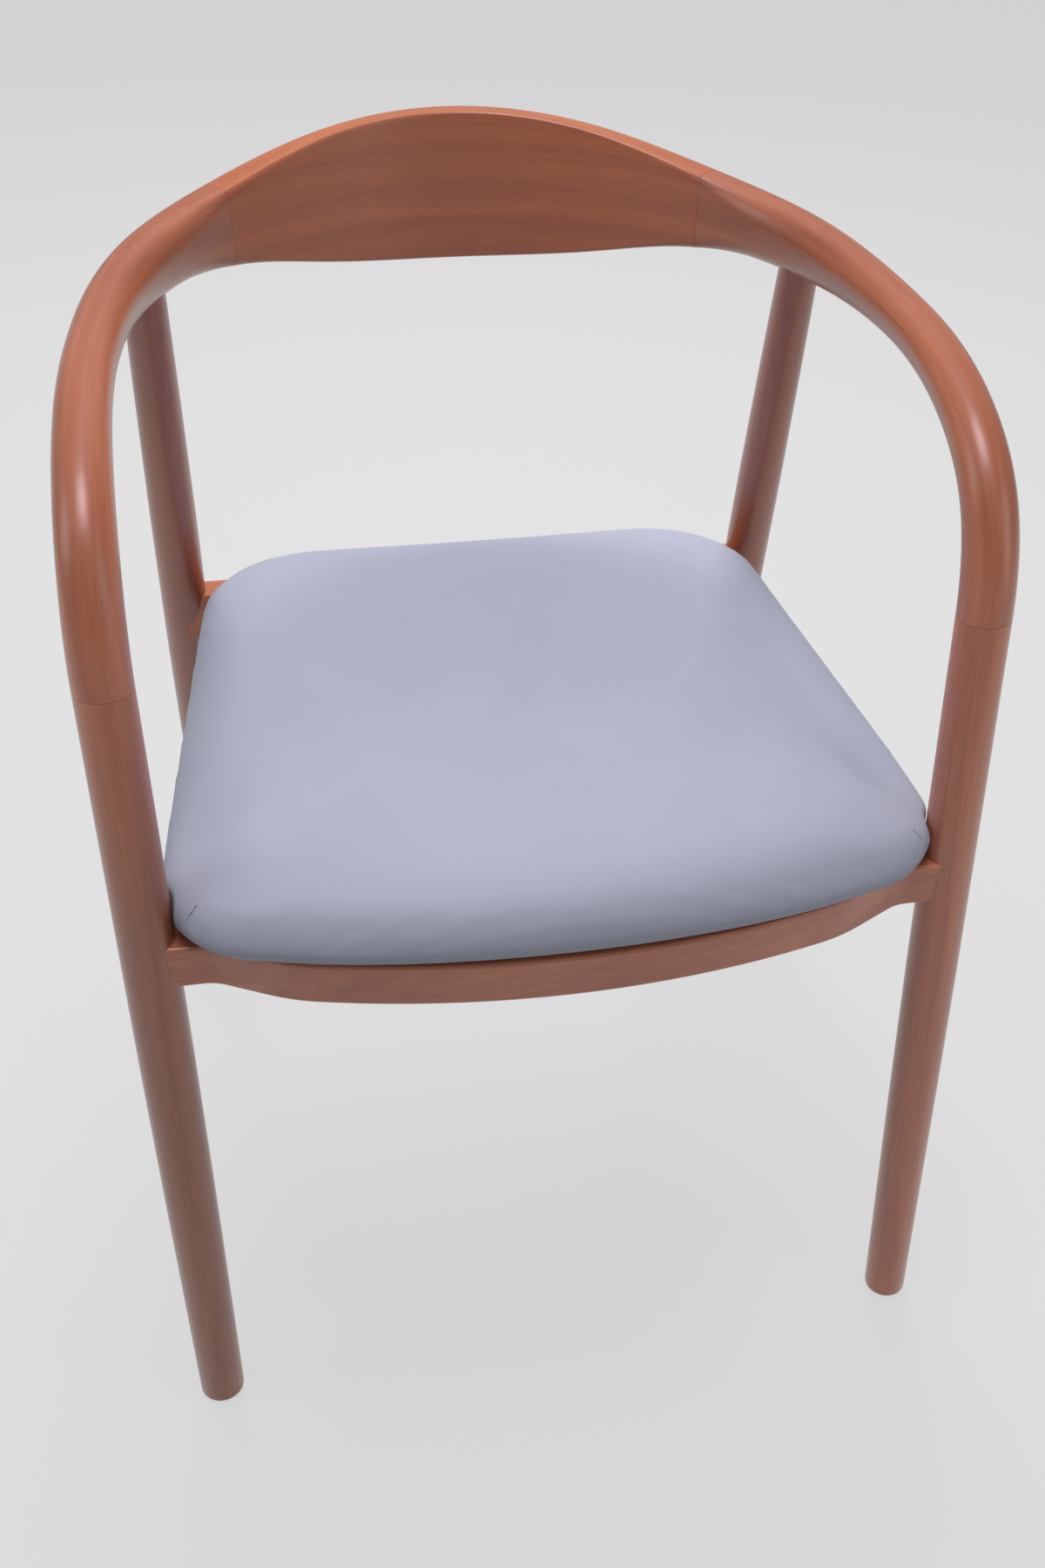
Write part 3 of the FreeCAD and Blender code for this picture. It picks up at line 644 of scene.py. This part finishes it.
# %% [markdown]
# ## The hem and its staples
# The cover is turned in under the board as a flat hem, and a row of staples holds it, each pressed down until
# its wire lies flush. A Solidify modifier on a flat ring could give the hem. Four outlines bridged into a ring
# do it in one step, and the staples are small cubes set along a fifth outline.

# %% Add the hem and its staples
HEM_SHARES = (0.9455, 0.852)
HEM_LEVELS = (426.8 * MM, 427.9 * MM)
STAPLE_SHARE = 0.905
STAPLE_SIZE = Vector((1.1, 10, 0.4)) * MM
STAPLE_LEVEL = 426.95 * MM
STAPLE_PITCH = 27 * MM
CUBE_FACES = 6


def staple_row(name):
    path = outline_points(STAPLE_SHARE, STAPLE_LEVEL)
    bm = bmesh.new()
    left_over = STAPLE_PITCH / 2
    for start, end in zip(path, path[1:] + path[:1]):
        length = (end - start).length
        while left_over < length:
            turn = (end - start).to_track_quat("X", "Z").to_matrix().to_4x4()
            place = Matrix.Translation(start.lerp(end, left_over / length)) @ turn
            bmesh.ops.create_cube(bm, size=1, matrix=place @ Matrix.Diagonal(STAPLE_SIZE.to_4d()))
            left_over += STAPLE_PITCH
        left_over -= length
    return finished(bm, name)


outer, inner = HEM_SHARES
low, high = HEM_LEVELS
hem_corners = ((outer, low), (outer, high), (inner, high), (inner, low))
hem = bridged("seat_hem", [outline_points(share, level) for share, level in hem_corners], closed=True)
staples = staple_row("hem_staples")
print("staples:", len(staples.data.polygons) // CUBE_FACES)

# %% [markdown]
# ## What each piece is for the imported model
# Every new piece is hung on the body that it moves with, and the imported node that it takes the place of is
# hidden.

# %% Close the script's pieces
for name, piece in legs.items():
    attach(piece, BODY)
    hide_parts(name)
for side, name in ((1, "right"), (-1, "left")):
    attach(arms[side], BODY)
    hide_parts("arm_" + name)
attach(back, BODY)
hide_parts("backrest")
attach(cushion, BODY)
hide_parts("seat_cover", "seat_foam")
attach(hem, BODY)
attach(staples, BODY)
print("new pieces:", len(legs) + len(arms) + len((back, cushion, hem, staples)))

# %% [markdown]
# ## Helpers for finishes
# Every finish below is a small network of shader nodes, which could be drawn by hand in the shader editor. In a
# script one function adds a node of any kind, sets its inputs and links others to it, and one turns the hex
# colours that a paint card would give into Blender's linear light.

# %% Define the helpers
def linear(hex_colour):
    channels = [int(hex_colour[i:i + 2], 16) / 255 for i in (1, 3, 5)]
    return tuple(c / 12.92 if c <= 0.04045 else ((c + 0.055) / 1.055) ** 2.4 for c in channels) + (1,)


def node(tree, kind, settings=None, inputs=None, stops=()):
    """Adds one node. stops are a colour ramp's (position, hex colour), in order."""
    made = tree.nodes.new("ShaderNode" + kind)
    for name, value in (settings or {}).items():
        setattr(made, name, value)
    for key, value in (inputs or {}).items():
        if isinstance(value, bpy.types.NodeSocket):
            tree.links.new(value, made.inputs[key])
        else:
            made.inputs[key].default_value = value
    for i, (position, colour) in enumerate(stops):
        elements = made.color_ramp.elements
        stop = elements[i] if i < len(elements) else elements.new(position)
        stop.position, stop.color = position, linear(colour)
    return made


def new_material(name):
    material = bpy.data.materials.new(name)
    material.use_nodes = True
    material.node_tree.nodes.clear()
    return material, material.node_tree


print("middle grey as linear light:", round(linear("#808080")[0], 3))

# %% [markdown]
# ## Stained beech under satin lacquer
# The timber is a pale hardwood such as beech or ash, stained red-brown and sprayed with satin lacquer. The stain
# gathers in the pores, so the grain reads as fine darker dashes along the piece, and broad bands drift from
# orange to brown. A picture of wood could be wrapped round each piece, but two stretched noises in millimetres
# have no seam and follow every bend. The lacquer lies over them like thin glass, which gives the soft pale
# lights on the bends.

# %% Make the timber finishes
PORE_WIDTH = 0.9 * MM  # real pores are near 0.1 mm, too fine for the render, so they are drawn coarser
PORE_LENGTH = 34 * MM
PORE_DEPTH = 0.2 * MM
PORE_SHARE = 0.35
BAND_WIDTH = 16 * MM
BAND_LENGTH = 260 * MM
STAIN_STEPS = (0.34, 0.50, 0.66)
LACQUERED_WOOD = {"Roughness": 0.45, "IOR": 1.5, "Coat Weight": 1.0, "Coat Roughness": 0.32, "Coat IOR": 1.5}


def timber(name, tones, coordinates="grain", turn=(0, 0, 0), painted_light_low_tones=None, painted_light_fade=None):
    """tones: dark, middle and light hex colours of the stain. Below the two heights of painted_light_fade they
    give way to painted_light_low_tones, painted light and shade that stand in for how light falls on upright
    parts.
    """
    material, tree = new_material(name)
    spot = node(tree, "TexCoord").outputs["Object"]
    source = spot
    if coordinates == "grain":
        source = node(tree, "Attribute", {"attribute_name": "grain"}).outputs["Vector"]
    laid = node(tree, "Mapping", inputs={"Vector": source, "Rotation": turn}).outputs["Vector"]
    bands = node(tree, "Mapping", inputs={"Vector": laid,
                                          "Scale": (1 / BAND_LENGTH, 1 / BAND_WIDTH, 1 / BAND_WIDTH)})
    pores = node(tree, "Mapping", inputs={"Vector": laid,
                                          "Scale": (1 / PORE_LENGTH, 1 / PORE_WIDTH, 1 / PORE_WIDTH)})
    drift = node(tree, "TexNoise", inputs={"Vector": bands.outputs["Vector"], "Scale": 1.0, "Detail": 5.0,
                                           "Roughness": 0.55, "Distortion": 0.6})
    streaks = node(tree, "TexNoise", inputs={"Vector": pores.outputs["Vector"], "Scale": 1.0, "Detail": 3.0,
                                             "Roughness": 0.6})
    figure = node(tree, "Mix", {"data_type": "FLOAT"}, {0: PORE_SHARE, 2: drift.outputs["Fac"],
                                                        3: streaks.outputs["Fac"]}).outputs[0]
    colour = node(tree, "ValToRGB", inputs={"Fac": figure}, stops=zip(STAIN_STEPS, tones)).outputs["Color"]
    # below the fade heights the stain gives way to painted light: lighter on upright fronts, and darker as
    # painted shade low on the left front leg
    if painted_light_low_tones:
        height = node(tree, "SeparateXYZ", inputs={"Vector": spot}).outputs["Z"]
        rise = node(tree, "MapRange", inputs={"Value": height, "From Min": painted_light_fade[0], "From Max": painted_light_fade[1]})
        low = node(tree, "ValToRGB", inputs={"Fac": figure}, stops=zip(STAIN_STEPS, painted_light_low_tones))
        colour = node(tree, "Mix", {"data_type": "RGBA"},
                      {0: rise.outputs["Result"], 6: low.outputs["Color"], 7: colour}).outputs[2]
    bump = node(tree, "Bump", inputs={"Strength": 0.06, "Distance": PORE_DEPTH,
                                      "Height": streaks.outputs["Fac"]})
    shader = node(tree, "BsdfPrincipled", inputs={"Base Color": colour, "Normal": bump.outputs["Normal"],
                                                  **LACQUERED_WOOD})
    node(tree, "OutputMaterial", inputs={"Surface": shader.outputs["BSDF"]})
    return material


ARM_TONES = ("#894B2F", "#9D593A", "#AD6845")
# lighter tones painted on the upright lower part of each bend and the top of each front leg, as painted light
# standing in for light from the front
FRONT_PAINTED_LIGHT_TONES = ("#9E5636", "#B46742", "#C6774F")
# lower parts of the front legs: the left one is painted darker as painted shade, while the right one keeps about
# the same brightness and is a little greyer
LOWER_LEG_PAINTED_LIGHT_TONES = {"left": ("#824930", "#93573C", "#A26648"), "right": ("#A05D42", "#B36D50", "#C47F5F")}
REAR_LEG_TONES = ("#86442B", "#97523A", "#A65E40")
RAIL_TONES = ("#A05A3E", "#B46B4C", "#C57D5B")
BACK_TONES = ("#964E2A", "#A45930", "#AF6337")
RAW_TONES = ("#A5835C", "#B8966C", "#C9A97F")
# heights in metres over which the stain gives way to painted light, on the bends and on the front legs
BEND_PAINTED_LIGHT_FADE = (0.64, 0.71)
LEG_PAINTED_LIGHT_FADE = (0.44, 0.60)
# each piece is from its own plank; the backrest is the deepest in colour and the rear legs are a darker brown.
# The upright lower part of each bend and the top of each front leg are painted lighter, standing in for light
# from the front, and the lower part of the left front leg is painted darker as painted shade, while the right
# one's only turns a little greyer
arm_timber = timber("arm_timber", ARM_TONES, painted_light_low_tones=FRONT_PAINTED_LIGHT_TONES, painted_light_fade=BEND_PAINTED_LIGHT_FADE)
back_timber = timber("back_timber", BACK_TONES)
leg_timber = {side: timber("leg_timber_" + side, FRONT_PAINTED_LIGHT_TONES, painted_light_low_tones=tones, painted_light_fade=LEG_PAINTED_LIGHT_FADE)
              for side, tones in LOWER_LEG_PAINTED_LIGHT_TONES.items()}
rear_leg_timber = timber("rear_leg_timber", REAR_LEG_TONES)
# the rails are sawn straight, so their grain runs along the piece: across the chair, or from front to back
rail_timber = timber("rail_timber", RAIL_TONES, "object")
side_timber = timber("side_timber", RAIL_TONES, "object", turn=(0, 0, math.radians(90)))
# blocks and dowels are beech without stain, a pale straw colour with the same fine dashes
raw_timber = timber("raw_beech", RAW_TONES, "object")
print("timber finishes:", sum("timber" in m.name or "beech" in m.name for m in bpy.data.materials))

# %% [markdown]
# ## Coated cloth on the seat
# The cover is a woven cloth with a soft plastic coat, embossed with a fine pebble grain. Its pebbles are
# under a millimetre, so they dull the light more than they show. A Voronoi pattern gives them as bumps, which
# costs less than real ones, and its cells come in the uneven sizes that an embossing roller leaves.

# %% Make the seat cover's finish
PEBBLE = 0.9 * MM
PEBBLE_DEPTH = 0.12 * MM
CLOUDS_PER_METRE = 14.0
LEATHERETTE_TONES = ("#9BA2B1", "#9EA5B4")


def leatherette(name):
    material, tree = new_material(name)
    source = node(tree, "TexCoord").outputs["Object"]
    pebbles = node(tree, "TexVoronoi", {"feature": "SMOOTH_F1"},
                   {"Vector": source, "Scale": 1 / PEBBLE, "Smoothness": 0.6})
    cloudy = node(tree, "TexNoise", inputs={"Vector": source, "Scale": CLOUDS_PER_METRE, "Detail": 3.0})
    colour = node(tree, "ValToRGB", inputs={"Fac": cloudy.outputs["Fac"]},
                  stops=zip((0.3, 0.7), LEATHERETTE_TONES))
    bump = node(tree, "Bump", inputs={"Strength": 0.10, "Distance": PEBBLE_DEPTH,
                                      "Height": pebbles.outputs["Distance"]})
    shader = node(tree, "BsdfPrincipled", inputs={"Base Color": colour.outputs["Color"], "Roughness": 0.52,
                                                  "IOR": 1.46, "Normal": bump.outputs["Normal"]})
    node(tree, "OutputMaterial", inputs={"Surface": shader.outputs["BSDF"]})
    return material


cover = leatherette("seat_leatherette")
print("pebbles across the seat:", round(np.ptp(seat_points[:, 0]) / PEBBLE))

# %% [markdown]
# ## The finishes under the seat
# Board, dust cloth, glides and screws are seen only from below. Each is an even material whose surface shows a
# fine speck and no pattern, so one function makes all four from two close colours, a roughness and the size
# of the speck. Pictures or layered finishes would be lost there.

# %% Make the plain finishes
SPECK_DEPTH = 0.1 * MM


def plain(name, colours, roughness, metallic=0.0, speck_size=1.5 * MM, strength=0.1):
    """A finish with a fine even texture."""
    material, tree = new_material(name)
    source = node(tree, "TexCoord").outputs["Object"]
    speck = node(tree, "TexNoise", inputs={"Vector": source, "Scale": 1 / speck_size, "Detail": 2.0})
    bump = node(tree, "Bump", inputs={"Strength": strength, "Distance": SPECK_DEPTH,
                                      "Height": speck.outputs["Fac"]})
    tint = node(tree, "ValToRGB", inputs={"Fac": speck.outputs["Fac"]}, stops=zip((0.2, 0.8), colours))
    shader = node(tree, "BsdfPrincipled", inputs={"Base Color": tint.outputs["Color"], "Roughness": roughness,
                                                  "Metallic": metallic, "Normal": bump.outputs["Normal"]})
    node(tree, "OutputMaterial", inputs={"Surface": shader.outputs["BSDF"]})
    return material


# peeled birch, pressed and left bare: matt, with soft yellowish flecks
plywood = plain("birch_plywood", ("#A98B62", "#C0A379"), 0.7, speck_size=4 * MM)
# black fibres bonded by heat: no sheen at all, and a felt-like tooth
dust_cloth = plain("non_woven_dust_cloth", ("#141417", "#1E1E22"), 0.95, speck_size=0.8 * MM, strength=0.4)
# dark nylon from a mould: an even half-gloss
glide_nylon = plain("moulded_nylon", ("#1B1918", "#24211F"), 0.5)
# steel with a thin bright zinc plating: cool grey metal with slightly blurred reflections
zinc = plain("zinc_plated_steel", ("#A8A8AA", "#BEBEC0"), 0.35, metallic=1.0)
print("finishes so far:", len(bpy.data.materials))

# %% [markdown]
# ## Each piece gets its finish
# The imported nodes are named one by one, because a finish belongs to what a piece is and not to its place in
# the list. The left front leg and the right one have their own finish, because the left one's lower part carries
# painted shade.

# %% Dress the pieces
CAD_FINISHES = {
    rail_timber: ["front_rail", "rear_rail"],
    side_timber: ["side_rail_right", "side_rail_left"],
    raw_timber: ["corner_block_front_right", "corner_block_front_left", "corner_block_rear_right",
                 "corner_block_rear_left", "backrest_dowels", "arm_dowels", "front_rail_dowels",
                 "rear_rail_dowels", "side_rail_dowels"],
    plywood: ["seat_board"],
    dust_cloth: ["dust_cover"],
    glide_nylon: ["floor_glides"],
    zinc: ["seat_screws", "block_screws", "glide_nails"],
}


def painted(piece, material):
    piece.data.materials.clear()
    piece.data.materials.append(material)


for material, names in CAD_FINISHES.items():
    for name in names:
        painted(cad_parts[name], material)
for piece in arms.values():
    painted(piece, arm_timber)
painted(back, back_timber)
for name, piece in legs.items():
    painted(piece, leg_timber[name.split("_")[-1]] if name.startswith("front") else rear_leg_timber)
for piece, material in ((cushion, cover), (hem, cover), (staples, zinc)):
    painted(piece, material)
print("packed nodes dressed:", sum(len(names) for names in CAD_FINISHES.values()))

# %% [markdown]
# ## A pale floor
# The chair stands on a plain pale floor. More light would make a floor pale, but it would bleach the chair as
# well. Here a part of the floor glows for the camera, and for reflections and glass, so that metal and lacquer
# mirror the same pale ground. The rest of it is plain matt grey and keeps a faint shadow under the chair.

# %% Lay the floor
FLOOR_SIZE = 8.0
FLOOR_GREY = "#A8A8A8"
FLOOR_GLOW = "#EFEFEF"
GLOW_SHARE = 0.7
bpy.ops.mesh.primitive_plane_add(size=FLOOR_SIZE)
floor = bpy.context.object
floor.name = "floor"
material, tree = new_material("pale_floor")
ray = node(tree, "LightPath")
seen = ray.outputs["Is Camera Ray"]
for kind in ("Is Glossy Ray", "Is Transmission Ray"):
    seen = node(tree, "Math", {"operation": "MAXIMUM"}, {0: seen, 1: ray.outputs[kind]}).outputs["Value"]
glow_share = node(tree, "Math", {"operation": "MULTIPLY"}, {0: seen, 1: GLOW_SHARE}).outputs["Value"]
matt = node(tree, "BsdfDiffuse", inputs={"Color": linear(FLOOR_GREY)})
glow = node(tree, "Emission", inputs={"Color": linear(FLOOR_GLOW), "Strength": 1.0})
ground = node(tree, "MixShader", inputs={0: glow_share, 1: matt.outputs["BSDF"], 2: glow.outputs["Emission"]})
node(tree, "OutputMaterial", inputs={"Surface": ground.outputs["Shader"]})
painted(floor, material)
print("share of the floor's paleness that glows:", GLOW_SHARE)

# %% [markdown]
# ## Light from above
# A small lamp right above gives the narrow pale lights on top of the bends. A large soft one above and behind
# shades the seat from its bright rear to its darker front. Its reflection would haze the timber, so it is left
# out of reflections. Two weak lamps, as a window on the left and an open door in front on the right, and an
# even grey sky fill the shadows. One bare sun lamp would be simpler, but its shadows are too hard for a room.

# %% Hang the lamps
SKY_GREY = "#E6E6EA"
SKY_STRENGTH = 0.36
world = bpy.data.worlds.new("studio")
bpy.context.scene.world = world
world.use_nodes = True
world.node_tree.nodes.clear()
sky = node(world.node_tree, "Background", inputs={"Color": linear(SKY_GREY), "Strength": SKY_STRENGTH})
node(world.node_tree, "OutputWorld", inputs={"Surface": sky.outputs["Background"]})


def lamp(name, place, target, size, watts, colour):
    """An oblong soft lamp that looks from place to target."""
    data = bpy.data.lights.new(name, "AREA")
    data.shape = "RECTANGLE"
    data.size, data.size_y = size
    data.energy = watts
    data.color = linear(colour)[:3]
    made = bpy.data.objects.new(name, data)
    bpy.context.scene.collection.objects.link(made)
    made.location = place
    made.rotation_euler = (Vector(target) - Vector(place)).to_track_quat("-Z", "Y").to_euler()
    return made


skylight = lamp("skylight", (0.2, 1.3, 2.1), (0, -0.1, 0.45), (1.4, 1.4), 54, "#FFFAFC")
skylight.visible_glossy = False
lamp("ceiling", (-0.2, -0.4, 2.6), (-0.2, -0.4, 0), (0.85, 0.85), 20, "#FFF2FA")
lamp("window", (-2.2, -0.1, 1.7), (0, -0.1, 0.5), (1.0, 1.4), 8, "#FFF8FA")
lamp("door", (1.6, -1.4, 1.1), (0.2, -0.2, 0.45), (0.8, 1.6), 6, "#FFF2F0")
print("lamps:", {light.name: round(light.energy) for light in bpy.data.lights})

# %% [markdown]
# ## The camera
# The camera stands where the photographer stood: above the seat, a little to the left, looking down. It could
# be moved by eye until the picture fits. Its place, turn and focal length were worked out instead from points
# of the chair in the picture, each right point against its left twin. The lens shift moves the middle of the
# view without tilting the camera, as a cropped photograph needs.

# %% Stand the camera where the photographer stood
FOCAL_PIXELS = 2007.12
PHOTO_WIDTH = 1200
PHOTO_HEIGHT = 1800
VIEW_CENTRE = (725.08, 1064.45)
SENSOR_HEIGHT = 36  # in the millimetres that a lens is sold by
EYE = Vector((-169.93, -1075.68, 1167.16)) * MM
YAW, PITCH, ROLL = (math.radians(degrees) for degrees in (14.437, 41.962, 3.300))

ahead = Vector((math.sin(YAW) * math.cos(PITCH), math.cos(YAW) * math.cos(PITCH), -math.sin(PITCH)))
right = Vector((math.cos(YAW), -math.sin(YAW), 0))
up = right.cross(ahead)
turned_right = right * math.cos(ROLL) + up * math.sin(ROLL)
turned_up = up * math.cos(ROLL) - right * math.sin(ROLL)
view = bpy.data.cameras.new("photographer")
view.sensor_fit = "VERTICAL"
view.sensor_height = SENSOR_HEIGHT
view.lens = FOCAL_PIXELS / PHOTO_HEIGHT * SENSOR_HEIGHT
view.shift_x = (PHOTO_WIDTH / 2 - VIEW_CENTRE[0]) / PHOTO_HEIGHT
view.shift_y = (VIEW_CENTRE[1] - PHOTO_HEIGHT / 2) / PHOTO_HEIGHT
camera = bpy.data.objects.new("photographer", view)
bpy.context.scene.collection.objects.link(camera)
camera.location = EYE
camera.rotation_euler = Matrix((turned_right, turned_up, -ahead)).transposed().to_euler()
bpy.context.scene.camera = camera
bpy.context.scene.view_settings.view_transform = "Standard"
print("lens:", round(view.lens, 1), "mm, eye", round(camera.location.z, 2), "m above the floor")
